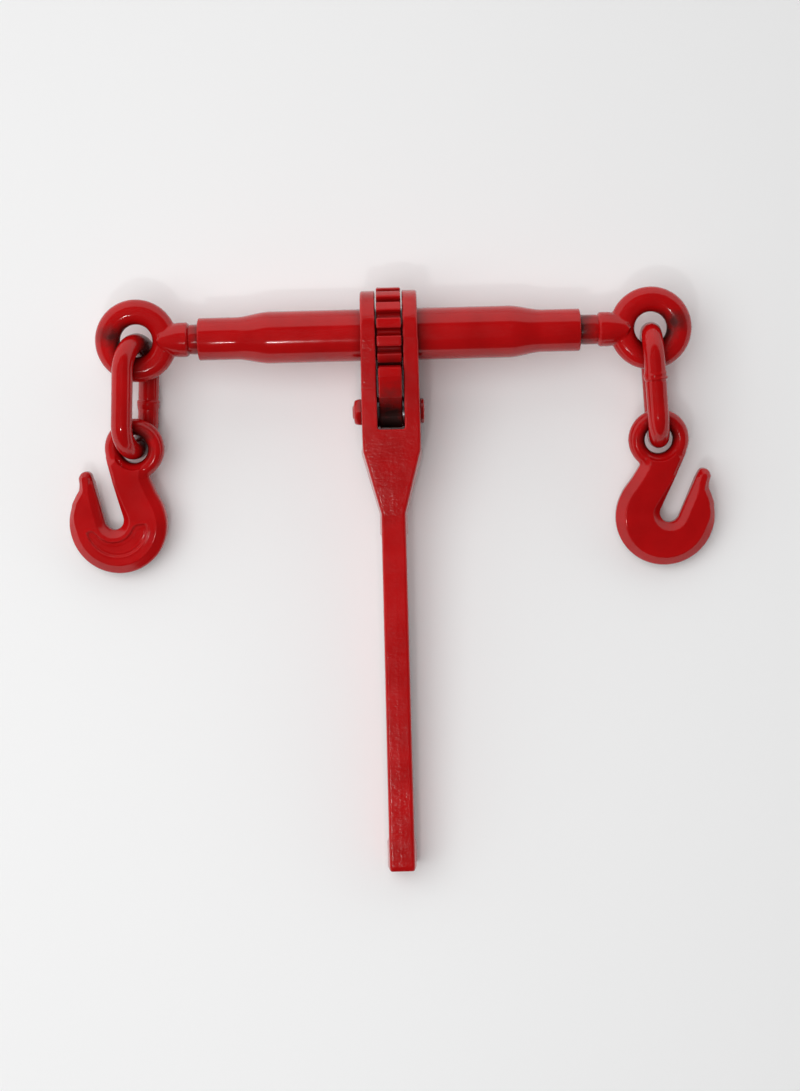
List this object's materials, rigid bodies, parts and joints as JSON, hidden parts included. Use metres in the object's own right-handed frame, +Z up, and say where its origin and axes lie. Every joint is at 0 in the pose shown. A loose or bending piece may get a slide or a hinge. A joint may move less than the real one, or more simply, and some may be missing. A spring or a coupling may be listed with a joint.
{
  "type": "ratchet load binder",
  "caption": "Ratchet chain binder: a threaded barrel with a ratchet gear, a forked lever handle with a double pawl, and an eye bolt, chain link and grab hook at each end.",
  "frame": {"origin": "under the middle of the whole piece, on the surface that it lies on", "axes": "+X along the barrel towards its right end, +Y from the handle towards the barrel, +Z up, away from the surface"},
  "size_m": [0.418, 0.3751, 0.06],
  "materials": {
    "red_enamel": "glossy",
    "red_enamel_gear": "glossy",
    "red_enamel_forged": "glossy over forged steel",
    "red_enamel_handle": "glossy over forged steel",
    "red_enamel_greased": "glossy, with dark grease at the pivot",
    "red_enamel_link": "glossy",
    "red_enamel_hook": "glossy over forged steel",
    "red_enamel_fastener": "glossy",
    "bare_steel": "oiled, zinc plated",
    "spring_steel": "oiled, dark"
  },
  "bodies": {
    "barrel": {"barrel_left": "red_enamel", "barrel_right": "red_enamel", "ratchet_gear": "red_enamel_gear"},
    "handle": {"handle": "red_enamel_handle", "pawl_bolt": "red_enamel_fastener", "pawl_nut": "red_enamel_fastener", "pawl_spacer_left": "bare_steel", "pawl_spacer_right": "bare_steel", "detent_spring": "spring_steel"},
    "pawl": {"pawl": "red_enamel_greased"},
    "plunger": {"detent_plunger": "bare_steel"},
    "left_washer": {"left_stop_washer": "bare_steel"},
    "left_eye": {"left_eye_bolt": "red_enamel_forged", "left_stop_pin": "spring_steel"},
    "left_link": {"left_link": "red_enamel_link"},
    "left_hook": {"left_hook": "red_enamel_hook"},
    "right_washer": {"right_stop_washer": "bare_steel"},
    "right_eye": {"right_eye_bolt": "red_enamel_forged", "right_stop_pin": "spring_steel"},
    "right_link": {"right_link": "red_enamel_link"},
    "right_hook": {"right_hook": "red_enamel_hook"}
  },
  "joints": [
    {"name": "handle_swing", "type": "hinge", "parent": "barrel", "child": "handle", "pos_m": [0, 0.1573, 0.03], "axis": [-1, 0, 0], "continuous": true},
    {"name": "pawl_rock", "type": "hinge", "parent": "handle", "child": "pawl", "pos_m": [0, 0.10836, 0.0275], "axis": [1, 0, 0], "range_deg": [-7.1, 7.1]},
    {"name": "detent_slide", "type": "slide", "parent": "handle", "child": "plunger", "axis": [0, -0.9987, -0.0509], "range_m": [0, 0.0015], "stiffness_N_per_m": 1500, "deforming": ["detent_spring"]},
    {"name": "left_screw_slide", "type": "slide", "parent": "barrel", "child": "left_washer", "axis": [-1, 0, 0], "range_m": [-0.0045, 0.0628]},
    {"name": "left_screw_turn", "type": "hinge", "parent": "left_washer", "child": "left_eye", "pos_m": [-0.1613, 0.1573, 0.03], "axis": [1, 0, 0], "range_deg": [-360, 5280]},
    {"name": "left_link_swing", "type": "hinge", "parent": "left_eye", "child": "left_link", "pos_m": [-0.1613, 0.1573, 0.03], "axis": [0, -0.1374, 0.9905], "range_deg": [-150, 45]},
    {"name": "left_hook_swing", "type": "hinge", "parent": "left_link", "child": "left_hook", "pos_m": [-0.16539, 0.08908, 0.02053], "axis": [0.1032, 0.1449, -0.984], "range_deg": [-75, 75]},
    {"name": "right_screw_slide", "type": "slide", "parent": "barrel", "child": "right_washer", "axis": [1, 0, 0], "range_m": [-0.0045, 0.0628]},
    {"name": "right_screw_turn", "type": "hinge", "parent": "right_washer", "child": "right_eye", "pos_m": [0.1668, 0.1573, 0.03], "axis": [1, 0, 0], "range_deg": [-360, 5280]},
    {"name": "right_link_swing", "type": "hinge", "parent": "right_eye", "child": "right_link", "pos_m": [0.1668, 0.1573, 0.03], "axis": [0, 0.1115, -0.9938], "range_deg": [-150, 45]},
    {"name": "right_hook_swing", "type": "hinge", "parent": "right_link", "child": "right_hook", "pos_m": [0.17127, 0.08668, 0.02208], "axis": [0.0054, -0.1966, 0.9805], "range_deg": [-75, 75]}
  ],
  "couplings": [
    {"joint": "left_screw_slide", "follows": "left_screw_turn", "m_per_rad": 0.0006737},
    {"joint": "right_screw_slide", "follows": "right_screw_turn", "m_per_rad": 0.0006737}
  ]
}
